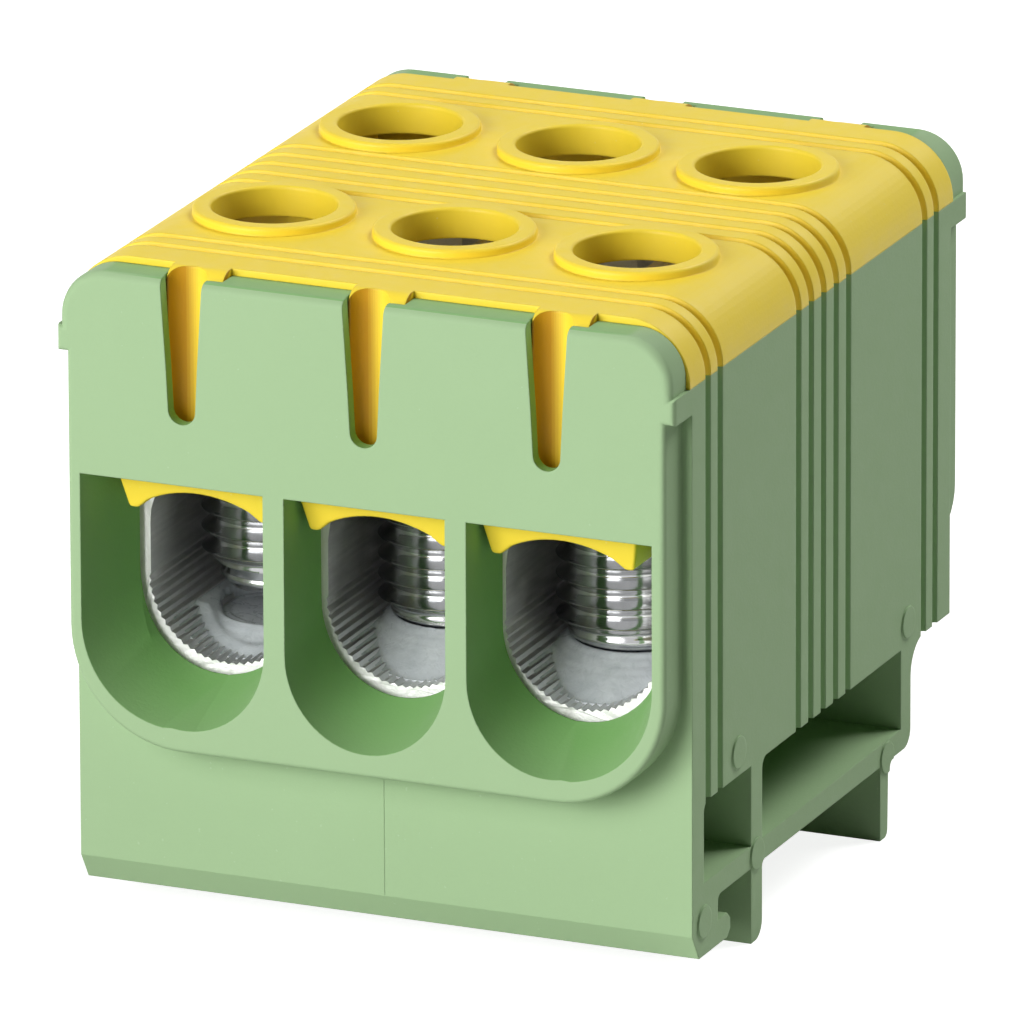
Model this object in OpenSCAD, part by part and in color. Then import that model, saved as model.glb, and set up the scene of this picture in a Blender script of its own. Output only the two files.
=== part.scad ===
// Power distribution block for a 35 mm rail: a moulded housing and cover around one metal bar,
// with a wire bore through each pole and a clamp screw above each wire entry.
// Millimetres, +Z up, front wire entries towards -Y, origin under the middle of the body.

/* [Poles] */
// Distance between neighbouring poles
pole_pitch = 13; // [12.4:0.1:17]
// Distance from the end of the body to the nearer row of screws
row_inset = 12.15; // [11:0.05:16]
// Distance between the two rows of screws
row_gap = 20.8; // [17:0.1:40]

/* [Terminal bar] */
// How much closer together the bores are than the pockets
bore_shift = 0.2; // [0:0.05:0.4]
// Width of each wire bore
bore_w = 11.1; // [10.8:0.1:11.3]
// Height of each wire bore
bore_h = 14.55; // [12:0.05:20]
// Metal below the bores
bore_floor = 2.15; // [1:0.05:5]
// Metal above the bores, which holds the threads
thread_h = 6.8; // [4:0.1:12]
// Metal outside the outer bores
bar_side = 1.7; // [0.8:0.1:4]
// Pitch of the grip teeth along the bottom of a bore
tooth_pitch = 0.55; // [0.4:0.01:1.2]
// Depth of the grip teeth
tooth_depth = 0.17; // [0.1:0.01:0.5]
// Gap between the bar and the housing around it
bar_fit = 0.1; // [0.05:0.05:0.5]
// Gap between the ends of the bar and the pockets
bar_gap = 0.6; // [0.2:0.05:1.5]

/* [Clamp screws] */
// Outside diameter of the thread
screw_d = 10.4; // [8:0.1:10.6]
// Pitch of the thread
screw_pitch = 1.4; // [0.8:0.05:1.75]
// Depth of the thread
thread_depth = 0.85; // [0.4:0.05:0.95]
// Height of a closed screw's point above the bottom of its bore
point_gap = 1.2; // [1.15:0.05:4]
// Length of a closed screw that sits in the threaded hole
screw_grip = 4.3; // [3:0.1:6.5]
// Diameter of the plain point
point_d = 7.9; // [5:0.1:8]
// Length of the plain point
point_len = 1.7; // [1:0.1:4]
// Bevel at the end of the plain point
point_bevel = 0.6; // [0.5:0.05:0.8]
// Width across flats of the hex socket
socket_af = 5; // [3:0.5:6]
// Depth of the hex socket
socket_depth = 6; // [2:0.5:8]
// Radial gap between a screw and its threaded hole
thread_fit = 0.05; // [0.02:0.01:0.1]
// How much higher the front left screw stands
screw_lift = 2; // [0:0.1:5]

/* [Housing] */
// Thickness of the side walls
side_wall = 1.85; // [1.2:0.05:4]
// Thickness of the floor under the bar
floor_t = 2.6; // [1.2:0.1:6]
// Distance from the top of the bar to the seam under the cover
seam_rise = 2.85; // [2:0.05:6]
// Height of the end walls above the seam
wall_rise = 4; // [2.5:0.1:4.4]
// Thickness of the end walls
end_wall = 2.55; // [1.8:0.05:4]
// Radius of the top corners of the end walls
wall_corner_r = 3.25; // [1:0.05:3.8]
// Set-back of the end walls from the sides above the seam
wall_setback = 0.25; // [0.1:0.05:0.6]
// Height of the lugs below the seam
lug_h = 1.8; // [0.8:0.1:4]

/* [Wire entries] */
// How far the entry frames stand proud of the body
frame_proud = 3; // [1.5:0.1:5]
// Set-back of the entry frames from the sides
frame_setback = 0.7; // [0.3:0.05:1.5]
// Height of the entry frames above the underside of the body
frame_lift = 0.35; // [0:0.05:2]
// Radius of the lower corners of the entry frames
frame_corner_r = 8; // [3:0.1:9]
// Thickness of the frame beside the outer pockets
frame_side = 0.9; // [0.6:0.05:2]
// Thickness of the frame below the pockets
frame_floor = 1.6; // [0.8:0.05:3]
// Thickness of the walls between the pockets
partition = 1.5; // [0.8:0.05:3]
// Distance from the top of a bore down to the top of its pocket
pocket_drop = 0.4; // [0:0.05:2]
// Rise of a pocket's floor from the frame to the bar
pocket_rise = 2.15; // [0.5:0.05:2.6]
// Width by which an outer pocket stays wider than the middle one, next to the bar
pocket_ease = 0.1; // [0.05:0.05:0.5]

/* [Wall slots] */
// Depth of the slots from the top of the end walls
slot_depth = 9.85; // [5:0.05:12]
// Width of a slot at the top
slot_w_top = 3; // [2.4:0.05:5]
// Width of a slot half way down
slot_w_mid = 2.25; // [1.5:0.05:3]
// Width of a slot near its round end
slot_w_end = 1.95; // [1:0.05:2.4]
// Thickness of wall left in front of the cover's ribs
slot_lip = 0.9; // [0.6:0.05:1.6]

/* [Cover] */
// Height of the cover above the seam
cover_rise = 4.45; // [4.3:0.05:8]
// Thickness of the cover
cover_t = 1.5; // [1:0.05:2.5]
// Radius of the cover's long edges
cover_corner_r = 4.3; // [2:0.05:4.3]
// Gap between the cover and the housing around it
cover_fit = 0.1; // [0.05:0.01:0.2]
// Depth of the skirts inside the side walls
skirt_h = 2.2; // [1:0.1:2.6]
// Diameter of the screwdriver holes
key_hole_d = 8.4; // [6:0.1:9.4]
// Diameter of the raised collars
collar_d = 10.9; // [10:0.1:12]
// Height of the raised collars
collar_h = 0.6; // [0.3:0.05:2]
// How far a rib reaches past its slot, below it and on its right
rib_overlap = 1; // [0.5:0.05:2]
// Radius of the ribs' upper edges
rib_r = 1.3; // [0.2:0.05:1.6]
// Depth of the hollow down the front of a rib
gutter_depth = 1.15; // [0.2:0.05:1.2]
// Thickness of the plates that carry the latch hooks
latch_plate = 1.6; // [1:0.1:2.5]
// Thickness of the latch hooks
hook_t = 3.3; // [2:0.1:4]
// Gap between a latch hook's root and the sides of its pocket
hook_gap = 0.2; // [0.1:0.05:1]
// Narrowing of a latch hook on each side, from its root to its feet
hook_slant = 0.5; // [0.1:0.05:1]
// Thickness of a latch hook above its arch
hook_web = 1.1; // [0.5:0.05:1.5]
// Width of the arch under a latch hook
arch_w = 7.2; // [5:0.1:8]
// Rise of the arch
arch_rise = 0.9; // [0.4:0.05:1.2]
// Width of each foot of a latch hook
hook_foot = 0.65; // [0.3:0.05:1]
// How far a latch hook reaches under the end wall
hook_reach = 0.8; // [0.4:0.05:1.2]
// Drop of the hook feet below the top of the pocket
hook_drop = 2.8; // [2.2:0.05:4]

/* [Side grooves] */
// Radius of the half-round grooves
groove_r = 0.45; // [0.2:0.01:0.6]
// Distance from the end of the body to the first groove
groove_inset = 2.7; // [2:0.05:4]
// Distance between the two grooves near each end
groove_pair = 2.05; // [1.4:0.05:3]
// Distance between the grooves in the middle
groove_pitch = 2.17; // [1.4:0.01:2.6]

/* [Rail foot] */
// Height of the legs
leg_h = 5.25; // [4:0.05:9]
// Thickness of the web above the legs
web_t = 1.55; // [1:0.05:3]
// Height of the tunnels between the web and the body
tunnel_h = 5.6; // [3:0.1:10]
// Thickness of the lower front wall
foot_wall = 1.95; // [1.2:0.05:3]
// Distance from the front of the body to the end of the rail slot
rail_edge = 4.35; // [3:0.05:6]
// Width of the rail slot
rail_slot = 5.7; // [5.2:0.05:7]
// Thickness of the middle leg and of the wall above it
mid_leg = 1.9; // [1:0.05:3]
// Thickness of the rear leg
rear_leg = 1.45; // [1:0.05:3]
// Distance over both legs, inside the rail
leg_spread = 24.1; // [20:0.1:24.6]
// Length of the long tunnel
tunnel_d = 24.4; // [23.5:0.1:26]
// Thickness of the wall behind the long tunnel
rear_wall = 1.75; // [1:0.05:3]
// Gap for the rail flange above the front hook
flange_gap = 1.75; // [1.2:0.05:2.2]
// Reach of the front hook past the end of the rail slot
foot_hook = 2.1; // [1:0.05:3]
// Height of the front hook
foot_hook_h = 1.7; // [1:0.05:2]
// Radius of the tunnels' upper front corners
tunnel_r = 0.8; // [0.2:0.05:1.2]
// Depth of the sloping toe at the front
toe_d = 1.15; // [0.5:0.05:2]
// Height of the sloping toe at the front
toe_h = 1.85; // [0.5:0.05:3]
// Radius of the large corners of the foot
foot_r = 1.2; // [0.5:0.05:1.6]
// Radius of the small corners of the foot
foot_edge_r = 0.5; // [0.2:0.05:0.6]
// Narrowing of the rear leg towards its end
leg_taper = 0.15; // [0:0.01:0.3]
// Radius of the ejector marks
mark_r = 1.1; // [0.5:0.05:1.2]
// Height of the ejector marks
mark_h = 0.12; // [0.05:0.01:0.3]
// Distance of the upper ejector marks above the underside of the body
mark_rise = 1.65; // [1.2:0.05:4]

/* [Hidden] */
$fn = 48;
// Distance that cuts run past a face, and that joined solids overlap
over = 1;

// Widths, from the poles outwards
poles = [-pole_pitch, 0, pole_pitch];
bore_pitch = pole_pitch - bore_shift;
bores = [-bore_pitch, 0, bore_pitch];
bore_r = bore_w / 2;
bar_half = bore_pitch + bore_r + bar_side;
cavity_half = bar_half + bar_fit;
body_half = cavity_half + side_wall;
body_w = 2 * body_half;
wall_half = body_half - wall_setback;
frame_half = body_half - frame_setback;
pocket_half = (pole_pitch - partition) / 2;
latch_half = pocket_half - hook_gap;
pocket_outer = frame_half - frame_side;

// Depths, from the front of the body backwards
body_d = 2 * row_inset + row_gap;
front = -body_d / 2;
frame_front = front - frame_proud;
wall_back = frame_front + end_wall;
latch_y = wall_back + cover_fit;
cavity_front = latch_y + hook_t + cover_fit;
bar_front = cavity_front + bar_gap;
pocket_d = cavity_front - frame_front;
row_y = row_gap / 2;

// Heights, from the legs upwards
web_z = leg_h;
tunnel_z = web_z + web_t;
body_z = tunnel_z + tunnel_h;
bar_z = body_z + floor_t;
bore_z = bar_z + bore_floor;
bore_top = bore_z + bore_h;
bar_top = bore_top + thread_h;
frame_z = body_z + frame_lift;
pocket_z = frame_z + frame_floor;
pocket_top = bore_top - pocket_drop;
pocket_h = pocket_top - pocket_z;
seam_z = bar_top + seam_rise;
wall_top = seam_z + wall_rise;
cover_top = seam_z + cover_rise;
cover_under = cover_top - cover_t;
slot_end = wall_top - slot_depth;
latch_z = pocket_top - cover_fit;
foot_z = pocket_top - hook_drop;
screw_z = bore_z + point_gap;
screw_len = bore_top + screw_grip - screw_z;

// Grooves along the sides and over the cover, measured from the middle of the body
groove_outer = body_d / 2 - groove_inset;
groove_y = concat(
    [for (s = [-1, 1], k = [0, 1]) s * (groove_outer - k * groove_pair)],
    [for (k = [-2:2]) k * groove_pitch]);

// Rail foot, measured from the front of the body
mid_leg_y = rail_edge + rail_slot;
tunnel_y = mid_leg_y + mid_leg;
rear_leg_y = mid_leg_y + leg_spread - rear_leg;
tunnel_end = tunnel_y + tunnel_d;
foot_end = tunnel_end + rear_wall;

plastic_green = [0.55, 0.68, 0.47];
plastic_yellow = [0.87, 0.72, 0.2];
tinned = [0.78, 0.79, 0.8];
steel = [0.7, 0.72, 0.74];

// Extrudes an outline drawn in X and Z from y0 back to y1
module along_y(y0, y1) {
    translate([0, y1, 0])
        rotate([90, 0, 0])
            linear_extrude(y1 - y0)
                children();
}

// Extrudes an outline drawn in Y and Z over a width, centred on X
module along_x(w) {
    rotate([90, 0, 90])
        translate([0, 0, -w / 2])
            linear_extrude(w)
                children();
}

// Makes the front and rear copies of a front feature
module both_ends() {
    children();
    mirror([0, 1, 0]) children();
}

// Rectangle between two corners
module rect(x0, z0, x1, z1) {
    translate([x0, z0]) square([x1 - x0, z1 - z0]);
}

// Rounds the corner of a rectangle at (x, z); sx and sz point away from its middle
module corner_cut(x, z, sx, sz, r) {
    translate([x, z])
        difference() {
            rect(min(-sx * r, sx * over), min(-sz * r, sz * over),
                max(-sx * r, sx * over), max(-sz * r, sz * over));
            translate([-sx * r, -sz * r]) circle(r);
        }
}

// Rectangle with its own radius at each lower corner
module round_foot(x0, z0, x1, z1, r_left, r_right) {
    difference() {
        rect(x0, z0, x1, z1);
        corner_cut(x0, z0, -1, -1, r_left);
        corner_cut(x1, z0, 1, -1, r_right);
    }
}

// Rectangle with both upper corners rounded
module round_head(x0, z0, x1, z1, r) {
    difference() {
        rect(x0, z0, x1, z1);
        corner_cut(x0, z1, -1, 1, r);
        corner_cut(x1, z1, 1, 1, r);
    }
}

// Fills an inside corner at (x, z); sx and sz point into the open quarter
module fillet(x, z, sx, sz, r) {
    lap = over / 2;
    translate([x, z])
        difference() {
            rect(min(-sx * lap, sx * r), min(-sz * lap, sz * r),
                max(-sx * lap, sx * r), max(-sz * lap, sz * r));
            translate([sx * r, sz * r]) circle(r);
        }
}

// Outline of an end wall with its entry frame, lugs and upper wall
module end_outline() {
    round_foot(-frame_half, frame_z, frame_half, seam_z, frame_corner_r, frame_corner_r);
    rect(-body_half, seam_z - lug_h, body_half, seam_z);
    round_head(-wall_half, seam_z - lug_h, wall_half, wall_top, wall_corner_r);
}

// Runs an outline back from the frame, climbing with the pocket floor and leaning in by a distance
module pocket_run(x, lean) {
    run = norm([lean, pocket_d]);
    translate([x, frame_front, pocket_z])
        rotate([atan2(pocket_rise, run), 0, atan2(lean, pocket_d)])
            along_y(-over, run + pocket_h)
                children();
}

// The three wire pockets of one end; the outer ones start wider and narrow towards the bar
module pockets() {
    lean = pocket_outer - pole_pitch - pocket_half - pocket_ease;
    corner_r = frame_corner_r - frame_side;
    corner_x = pocket_outer - corner_r / cos(atan2(lean, pocket_d));
    inner = pocket_half / 7;
    intersection() {
        union() {
            for (x = poles)
                pocket_run(x, 0)
                    round_foot(-pocket_half, 0, pocket_half, 2 * pocket_h, pocket_half, pocket_half);
            for (m = [0, 1])
                mirror([m, 0, 0])
                    pocket_run(corner_x, lean)
                        round_foot(pole_pitch + inner - corner_x, 0, corner_r, 2 * pocket_h,
                            inner / 2, corner_r);
        }
        along_x(body_w)
            polygon([
                [frame_front - over, body_z], [cavity_front + over, body_z],
                [cavity_front + over, pocket_top + over], [wall_back, pocket_top + over],
                [wall_back, pocket_top], [frame_front - over, pocket_top]]);
    }
}

// Outline of a slot in an end wall, tapered with a round end
module slot_outline() {
    end_r = slot_w_end / 2;
    mid_z = (slot_end + wall_top) / 2 - end_r;
    polygon([
        [-slot_w_top / 2, wall_top + over],
        [-slot_w_top / 2, wall_top],
        [-slot_w_mid / 2, mid_z],
        [-end_r, slot_end + end_r],
        [end_r, slot_end + end_r],
        [slot_w_mid / 2, mid_z],
        [slot_w_top / 2, wall_top],
        [slot_w_top / 2, wall_top + over]]);
    translate([0, slot_end + end_r]) circle(end_r);
}

// Side outline of the rail foot, measured from the front of the body
module foot_outline() {
    toe_z = web_z - flange_gap - foot_hook_h;
    hook_end = rail_edge + foot_hook;
    leg_end = rear_leg_y + rear_leg;
    difference() {
        union() {
            rect(0, web_z, foot_end, body_z + over);
            // Front leg with its hook
            polygon([
                [0, web_z + over], [0, toe_z + toe_h], [toe_d, toe_z],
                [hook_end - foot_edge_r, toe_z],
                [hook_end, toe_z + foot_edge_r],
                [hook_end, web_z - flange_gap - foot_edge_r],
                [hook_end - foot_edge_r, web_z - flange_gap],
                [rail_edge, web_z - flange_gap],
                [rail_edge, web_z + over]]);
            // Middle leg
            difference() {
                rect(mid_leg_y, 0, tunnel_y, web_z + over);
                corner_cut(tunnel_y, 0, 1, -1, min(foot_r, mid_leg));
            }
            // Rear leg, tapered on its rear face
            difference() {
                polygon([
                    [rear_leg_y, web_z + over], [rear_leg_y, 0], [leg_end, 0],
                    [leg_end, web_z + over]]);
                polygon([[leg_end - leg_taper, 0], [leg_end, web_z], [leg_end + over, 0]]);
                corner_cut(leg_end - leg_taper, 0, 1, -1, foot_edge_r);
            }
            fillet(leg_end, web_z, 1, -1, foot_edge_r);
            fillet(tunnel_y, web_z, 1, -1, foot_edge_r);
            fillet(rail_edge, web_z, 1, -1, foot_edge_r);
            fillet(foot_end, body_z, 1, -1, min(2 * foot_r, body_d - foot_end));
        }
        tunnel_outline(foot_wall, mid_leg_y);
        tunnel_outline(tunnel_y, tunnel_end);
        corner_cut(foot_end, web_z, 1, -1, foot_r);
    }
}

// Side outline of a tunnel through the foot, round at its upper front corner
module tunnel_outline(y0, y1) {
    difference() {
        rect(y0, tunnel_z, y1, body_z);
        corner_cut(y0, body_z, -1, 1, tunnel_r);
    }
}

// Outline of a wire bore, centred on its pole, with teeth along its lower half
module bore_outline() {
    low = bore_z + bore_r;
    high = bore_top - bore_r;
    teeth = floor(PI * bore_r / tooth_pitch);
    step = 180 / teeth;
    rect(-bore_r, low, bore_r, high);
    translate([0, low]) circle(bore_r);
    translate([0, high]) circle(bore_r);
    for (k = [0:teeth - 1])
        translate([0, low])
            rotate(180 + (k + 0.5) * step)
                polygon([
                    [bore_r - tooth_depth, -tooth_pitch / 2],
                    [bore_r, -tooth_pitch / 2],
                    [bore_r + tooth_depth, 0],
                    [bore_r, tooth_pitch / 2],
                    [bore_r - tooth_depth, tooth_pitch / 2]]);
}

// Outline of the cover above the seam, at an inset from the outside
module cover_outline(inset) {
    half = body_half - inset;
    r = cover_corner_r - inset;
    round_head(-half, seam_z, half, cover_top - inset, r);
}

// Half-round groove that runs up both sides and over the cover
module groove_loop() {
    arc_x = body_half - cover_corner_r;
    arc_z = cover_top - cover_corner_r;
    translate([-arc_x, 0, cover_top])
        rotate([0, 90, 0])
            cylinder(r = groove_r, h = 2 * arc_x);
    for (m = [0, 1])
        mirror([m, 0, 0]) {
            translate([body_half, 0, 0]) cylinder(r = groove_r, h = arc_z);
            translate([arc_x, 0, arc_z])
                rotate([90, 0, 0])
                    rotate_extrude(angle = 90)
                        translate([cover_corner_r, 0]) circle(groove_r);
        }
}

// Raised ejector marks on both sides of the housing, as distances from the body front and heights
module ejector_marks() {
    upper_z = body_z + mark_rise;
    spots = [
        [foot_wall, web_z - mark_r],
        [mid_leg_y + mid_leg / 2, web_z + web_t / 2],
        [rear_leg_y + mark_r, web_z + web_t / 4],
        [mid_leg_y - 2 * mark_r, upper_z],
        [foot_end - mark_r / 2, upper_z]];
    intersection() {
        translate([0, front, 0])
            along_x(body_w + 2 * mark_h) {
                foot_outline();
                rect(0, body_z, body_d, seam_z);
            }
        translate([0, front, 0])
            along_x(body_w + 4 * mark_h)
                for (s = spots)
                    translate(s) circle(mark_r);
    }
}

module housing() {
    slot_half = slot_w_top / 2;
    color(plastic_green)
        difference() {
            union() {
                along_y(front, -front) rect(-body_half, body_z, body_half, seam_z);
                both_ends() along_y(frame_front, front) end_outline();
                translate([0, front, 0]) along_x(body_w) foot_outline();
                ejector_marks();
            }
            // Cavity for the bar
            along_y(cavity_front, -cavity_front)
                rect(-cavity_half, bar_z, cavity_half, seam_z + over);
            both_ends() {
                // Room above the seam for the cover, behind the end wall
                along_y(wall_back, front + over)
                    rect(-body_half - over, seam_z, body_half + over, wall_top + over);
                // Wire pockets and the channel for the latch plates above them
                pockets();
                along_y(wall_back, cavity_front + over)
                    rect(-pocket_outer, pocket_top, pocket_outer, seam_z + over);
                // Slots and the rebates behind them for the cover's ribs
                for (x = poles)
                    translate([x, 0, 0]) {
                        along_y(frame_front - over, wall_back + over) slot_outline();
                        along_y(frame_front + slot_lip, wall_back + over)
                            rect(-slot_half - cover_fit, slot_end - rib_overlap - cover_fit,
                                slot_half + rib_overlap + cover_fit, wall_top + over);
                    }
            }
            for (y = groove_y, m = [0, 1])
                mirror([m, 0, 0])
                    translate([body_half, y, body_z - over])
                        cylinder(r = groove_r, h = seam_z - body_z + 2 * over);
        }
}

// Outline of a latch hook, arched over the bore between two feet
module hook_outline() {
    root_z = latch_z + hook_web;
    arch_top = latch_z - hook_web;
    arch_z = arch_top - arch_rise;
    arch_half = arch_w / 2;
    arch_r = (arch_half * arch_half + arch_rise * arch_rise) / (2 * arch_rise);
    foot_half = latch_half - hook_slant;
    foot_in = foot_half - hook_foot;
    difference() {
        polygon([
            [-latch_half, root_z], [-latch_half, latch_z], [-foot_half, foot_z],
            [foot_half, foot_z], [latch_half, latch_z], [latch_half, root_z]]);
        polygon([
            [-foot_in, foot_z - over], [-foot_in, foot_z], [-arch_half, arch_z],
            [arch_half, arch_z], [foot_in, foot_z], [foot_in, foot_z - over]]);
        intersection() {
            translate([0, arch_top - arch_r]) circle(arch_r);
            rect(-arch_half, foot_z, arch_half, latch_z);
        }
    }
}

// Latch of one pole: a plate behind the end wall, a rib in the slot and a hook under the wall
module latch() {
    plate_back = latch_y + latch_plate;
    hook_back = latch_y + hook_t;
    slot_half = slot_w_top / 2;
    gutter_r = slot_half + cover_fit;
    rib_y = frame_front + slot_lip + cover_fit;
    nose_slope = hook_reach / (latch_z - foot_z);
    along_y(latch_y, plate_back)
        rect(-latch_half, latch_z, latch_half, cover_top - cover_t / 2);
    // Rib, rounded where it meets the top of the cover and hollow down its front
    difference() {
        translate([rib_overlap / 2, 0, 0])
            along_x(2 * slot_half + rib_overlap)
                difference() {
                    rect(rib_y, slot_end - rib_overlap, plate_back, cover_top);
                    corner_cut(rib_y, cover_top, -1, 1, rib_r);
                }
        translate([0, rib_y + gutter_depth - gutter_r, slot_end - 2 * rib_overlap])
            cylinder(r = gutter_r, h = cover_top - slot_end + 3 * rib_overlap);
    }
    // Hook, thick behind the plate and with a sloping nose under the wall
    intersection() {
        along_y(latch_y - hook_reach - over, hook_back) hook_outline();
        along_x(3 * latch_half)
            polygon([
                [latch_y - hook_reach, latch_z],
                [latch_y + nose_slope * over, foot_z - over],
                [hook_back + over, foot_z - over],
                [hook_back + over, latch_z + 2 * hook_web],
                [latch_y, latch_z + 2 * hook_web],
                [latch_y, latch_z]]);
    }
}

module cover() {
    skirt_half = cavity_half - cover_fit;
    skirt_in = skirt_half - cover_t;
    color(plastic_yellow)
        difference() {
            union() {
                difference() {
                    along_y(latch_y, -latch_y) cover_outline(0);
                    along_y(latch_y + latch_plate, -latch_y - latch_plate) {
                        cover_outline(cover_t);
                        rect(-body_half + cover_t, seam_z - over, body_half - cover_t, seam_z + over);
                    }
                    for (y = groove_y)
                        translate([0, y, 0]) groove_loop();
                }
                // Skirts that drop inside the side walls
                for (m = [0, 1])
                    mirror([m, 0, 0])
                        along_y(cavity_front + cover_fit, -cavity_front - cover_fit) {
                            rect(skirt_in, seam_z - skirt_h, skirt_half, seam_z + cover_rise / 6);
                            rect(skirt_in, seam_z, body_half - cover_t / 2, seam_z + cover_rise / 3);
                        }
                both_ends()
                    for (x = poles)
                        translate([x, 0, 0]) latch();
                for (x = poles, y = [-row_y, row_y])
                    translate([x, y, cover_top - cover_t / 2])
                        cylinder(d = collar_d, h = cover_t / 2 + collar_h);
            }
            for (x = poles, y = [-row_y, row_y])
                translate([x, y, cover_under - over])
                    cylinder(d = key_hole_d, h = cover_t + collar_h + 2 * over);
        }
}

module terminal_block() {
    hole_r = screw_d / 2 + thread_fit;
    color(tinned)
        difference() {
            along_y(bar_front, -bar_front)
                difference() {
                    rect(-bar_half, bar_z, bar_half, bar_top);
                    for (x = bores)
                        translate([x, 0]) bore_outline();
                }
            for (x = bores, y = [-row_y, row_y])
                translate([x, y, bore_top - bore_r])
                    cylinder(r = hole_r, h = bar_top - bore_top + bore_r + over);
        }
}

// Clamp screw at a pole and row, with ring-shaped threads, a plain point and a hex socket
module clamp_screw(x, y, lift) {
    crest = screw_d / 2;
    root = crest - thread_depth;
    crest_w = screw_pitch / 8;
    flank = (screw_pitch - crest_w) / 2;
    point_r = point_d / 2;
    turns = floor((screw_len - point_len) / screw_pitch);
    color(steel)
        translate([x, y, screw_z + lift])
            difference() {
                rotate_extrude()
                    polygon(concat(
                        [[0, 0], [point_r - point_bevel, 0], [point_r, point_bevel]],
                        [for (k = [0:turns - 1], z = [point_len + k * screw_pitch]) each [
                            [root, z], [crest, z + flank], [crest, z + flank + crest_w]]],
                        [[root, point_len + turns * screw_pitch], [root, screw_len], [0, screw_len]]));
                translate([0, 0, screw_len - socket_depth])
                    cylinder(d = socket_af / cos(30), h = socket_depth + over, $fn = 6);
            }
}

housing();
cover();
terminal_block();
clamp_screw(-bore_pitch, -row_y, screw_lift);  // screw_front_left
clamp_screw(0, -row_y, 0);  // screw_front_middle
clamp_screw(bore_pitch, -row_y, 0);  // screw_front_right
clamp_screw(-bore_pitch, row_y, 0);  // screw_rear_left
clamp_screw(0, row_y, 0);  // screw_rear_middle
clamp_screw(bore_pitch, row_y, 0);  // screw_rear_right
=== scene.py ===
# Looks of the power distribution block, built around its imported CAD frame. Metres, +Z up.
import math
from collections import defaultdict, namedtuple
from contextlib import contextmanager

import bmesh
import bpy
import numpy as np
from mathutils import Matrix, Vector
from mathutils.geometry import delaunay_2d_cdt
from mathutils.noise import noise_vector, seed_set


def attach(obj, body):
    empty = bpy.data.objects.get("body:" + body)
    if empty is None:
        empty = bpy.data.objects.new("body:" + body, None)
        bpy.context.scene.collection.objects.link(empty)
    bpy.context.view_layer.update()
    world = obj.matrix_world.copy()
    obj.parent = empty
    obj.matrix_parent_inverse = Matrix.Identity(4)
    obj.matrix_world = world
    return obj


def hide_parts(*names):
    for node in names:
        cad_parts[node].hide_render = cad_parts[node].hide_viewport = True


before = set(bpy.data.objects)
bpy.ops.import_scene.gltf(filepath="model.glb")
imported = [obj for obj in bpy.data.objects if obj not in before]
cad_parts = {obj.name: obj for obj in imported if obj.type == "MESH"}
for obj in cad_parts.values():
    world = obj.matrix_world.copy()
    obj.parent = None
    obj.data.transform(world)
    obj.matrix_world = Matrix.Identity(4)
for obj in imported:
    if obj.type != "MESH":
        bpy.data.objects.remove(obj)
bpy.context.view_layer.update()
scene = bpy.context.scene
MM = 0.001

# Sizes of the block in millimetres, as in the CAD source

# Rows of wire entries and screws
SIDES = ("left", "middle", "right")
POLES = (-13.0, 0.0, 13.0)
BORES = (-12.8, 0.0, 12.8)
ROW_Y = 10.4
ROWS = (("front", -ROW_Y), ("rear", ROW_Y))

# Housing: body, end frames with their wire pockets, end walls with their slots
BODY_HALF = 22.0
GROOVE_D = 0.45
FRONT_Y = 22.55
FRAME_Y = 25.55
FRAME_HALF = 21.3
FRAME_Z = 12.75
FRAME_CORNER = 8.0
POCKET_Z = 14.35
POCKET_TOP = 31.4
POCKET_D = 3.0
SLOT_REACH = 1.65
SEAM_Z = 41.35
WALL_TOP = 45.35

# Cover: collared key holes, the height below which their walls get painted shade, and latch hooks
COLLAR_TOP = 46.4
COLLAR_R = 5.45
KEY_R = 4.2
KEY_SHADE_Z = 44.8
KEY_SHADE_RUN = 8.0
HOOK_TOP = 31.2

# Bar
BAR_Y = 18.9
BAR_TEAR = 0.05
TEAR_SEED = 3
BORE_R = 5.55
BORE_Z = 17.15

# Screws: the front left one stands higher, heights count from a screw's end
SCREW_Z = 18.35
SCREW_LIFT = 2.0
SCREW_LEN = 17.65
SCREW_R = 5.2
ROOT_R = 4.35
SCREW_PITCH = 1.4
SCREW_STEPS = 72
THREAD_START = 1.75
THREAD_END = SCREW_LEN - 0.35
SOCKET_HALF = 2.5
SOCKET_LIP = 0.25
SOCKET_DEPTH = 6.0
SOCKET_TIP = 7.2
POINT_R = 3.95
# Pairs of radius and height, up the screw's point, along its neck and over its head
POINT = ((3.25, 0.0), (3.36, 0.04), (3.62, 0.32), (3.84, 0.56), (3.93, 0.72), (POINT_R, 0.95))
NECK = ((3.88, 1.0), (3.88, 1.06), (POINT_R, 1.12), (POINT_R + 0.03, 1.55), (ROOT_R, THREAD_START))
HEAD = ((ROOT_R, THREAD_END), (4.2, SCREW_LEN - 0.1), (4.0, SCREW_LEN), (3.15, SCREW_LEN))

# Grease: reach along the bore, half angle round its bottom and thickness of the film
GREASE_HALF = 7.2
GREASE_REACH = 6.6
GREASE_SPREAD = 0.98
GREASE_FILM = 0.36
# Heights of the heaps over the screws' lowest ends, and gaps below the screws' points
GREASE_TOP = 1.6
GREASE_HEAP, HEAP_GAP = 1.5, 0.04
LOW_HEAP, LOW_GAP = 0.1, 0.12

# Edge radii of the mouldings
WIDEST_EDGE = 0.6
FRAME_EDGE = 0.4
FRONT_WALL_EDGE = 0.6
REAR_WALL_EDGE = 0.25
COLLAR_EDGE = 0.26
KEY_EDGE = 0.22
HOOK_SIDE_EDGE = 0.28
HOOK_EDGE = 0.15


# Materials

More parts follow.
